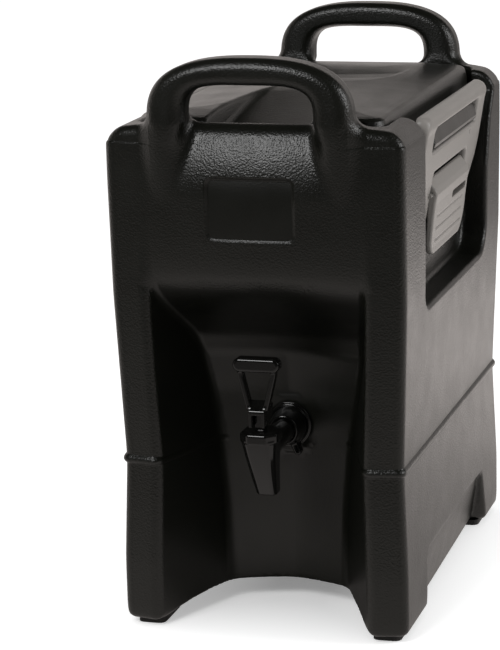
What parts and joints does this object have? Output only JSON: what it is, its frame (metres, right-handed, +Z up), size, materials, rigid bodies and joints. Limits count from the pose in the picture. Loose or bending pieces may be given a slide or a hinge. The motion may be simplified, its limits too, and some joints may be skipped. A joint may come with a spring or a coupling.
{
  "type": "insulated beverage server",
  "caption": "Black insulated drink server with a front spigot in an alcove, end carrying handles, and a lift-off lid held by swinging side latches.",
  "frame": {"origin": "on the floor under the middle of the body", "axes": "+Z up, -Y is the spigot side, +X is the right side seen from the spigot"},
  "size_m": [0.2616, 0.455, 0.507],
  "materials": {
    "black_textured": "satin",
    "charcoal_nylon": "satin",
    "gloss_black": "gloss",
    "liner": "satin",
    "foam": "matte",
    "silicone": "satin",
    "rubber": "matte",
    "steel": "satin"
  },
  "bodies": {
    "body": {"outer_shell": "black_textured", "foam_core": "foam", "tank_liner": "liner", "foot_front_left": "rubber", "foot_front_right": "rubber", "foot_rear_left": "rubber", "foot_rear_right": "rubber", "right_catch": "charcoal_nylon", "right_catch_screw_a": "steel", "right_catch_screw_b": "steel", "left_catch": "charcoal_nylon", "left_catch_screw_a": "steel", "left_catch_screw_b": "steel", "faucet_body": "gloss_black", "faucet_bonnet": "gloss_black", "handle_pin": "steel", "wing_nut": "gloss_black", "outer_washer": "rubber", "inner_washer": "silicone", "inner_nut": "gloss_black"},
    "lid": {"lid_shell": "black_textured", "lid_foam": "foam", "lid_pan": "liner", "lid_gasket": "silicone"},
    "right_frame": {"right_latch_frame": "charcoal_nylon", "right_lever_pin": "steel"},
    "right_lever": {"right_latch_lever": "charcoal_nylon"},
    "left_frame": {"left_latch_frame": "charcoal_nylon", "left_lever_pin": "steel"},
    "left_lever": {"left_latch_lever": "charcoal_nylon"},
    "tap_handle": {"faucet_handle": "gloss_black"},
    "tap_stem": {"faucet_stem": "gloss_black", "seat_cup": "silicone"}
  },
  "joints": [
    {"name": "lid_lift", "type": "slide", "parent": "body", "child": "lid", "axis": [0, 0, 1], "range_m": [0, 0.2]},
    {"name": "right_frame_swing", "type": "hinge", "parent": "lid", "child": "right_frame", "pos_m": [0.12275, 0.0105, 0.4325], "axis": [0, -1, 0], "range_deg": [0, 75]},
    {"name": "right_lever_pull", "type": "hinge", "parent": "right_frame", "child": "right_lever", "pos_m": [0.12005, 0.0105, 0.367], "axis": [0, -1, 0], "range_deg": [0, 45]},
    {"name": "left_frame_swing", "type": "hinge", "parent": "lid", "child": "left_frame", "pos_m": [-0.12275, 0.0105, 0.4325], "axis": [0, 1, 0], "range_deg": [0, 75]},
    {"name": "left_lever_pull", "type": "hinge", "parent": "left_frame", "child": "left_lever", "pos_m": [-0.12005, 0.0105, 0.367], "axis": [0, 1, 0], "range_deg": [0, 45]},
    {"name": "tap_tip", "type": "hinge", "parent": "body", "child": "tap_handle", "pos_m": [0, -0.2065, 0.193], "axis": [1, 0, 0], "range_deg": [0, 35], "stiffness_Nm_per_rad": 0.06},
    {"name": "stem_rise", "type": "slide", "parent": "body", "child": "tap_stem", "axis": [0, 0, 1], "range_m": [0, 0.0031]}
  ],
  "couplings": [
    {"joint": "stem_rise", "follows": "tap_tip", "m_per_rad": 0.0049111}
  ]
}
